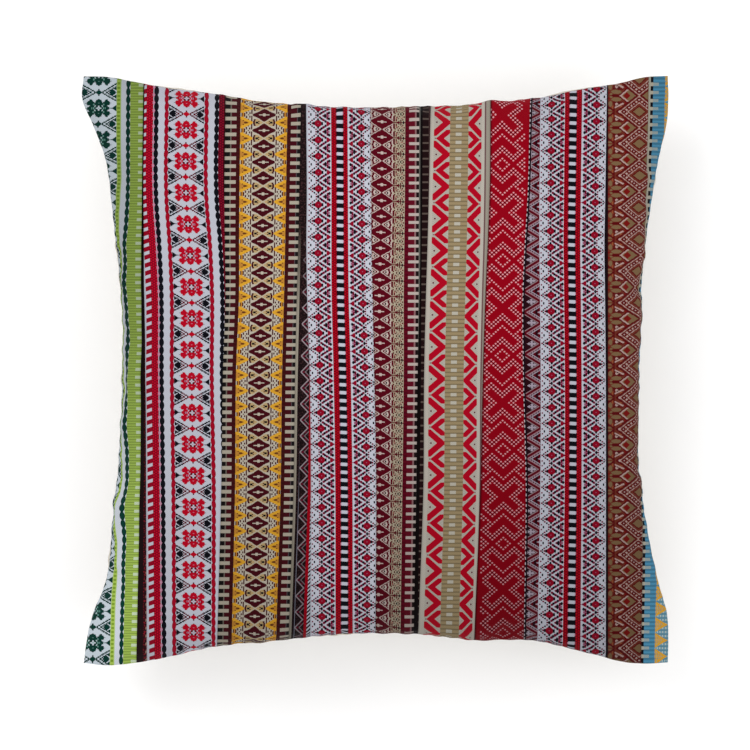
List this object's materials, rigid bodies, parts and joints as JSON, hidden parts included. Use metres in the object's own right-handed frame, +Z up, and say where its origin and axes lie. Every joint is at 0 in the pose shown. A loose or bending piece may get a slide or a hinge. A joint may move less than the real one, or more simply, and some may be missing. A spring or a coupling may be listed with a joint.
{
  "type": "cushion cover",
  "caption": "Filled square cushion cover with a plain knife-edge seam, lying on its back, its face striped lengthwise with patterned woven sash bands.",
  "frame": {"origin": "on the surface that the cushion lies on, under the middle of its outline", "axes": "+Z up, out of the patterned face; +Y along the bands, towards the picture's top; +X across the bands, towards the picture's right"},
  "size_m": [0.4408, 0.444, 0.1508],
  "materials": {
    "cover_cloth": "matt, patterned band weave"
  },
  "bodies": {
    "root": {"cushion": "cover_cloth"}
  },
  "joints": []
}
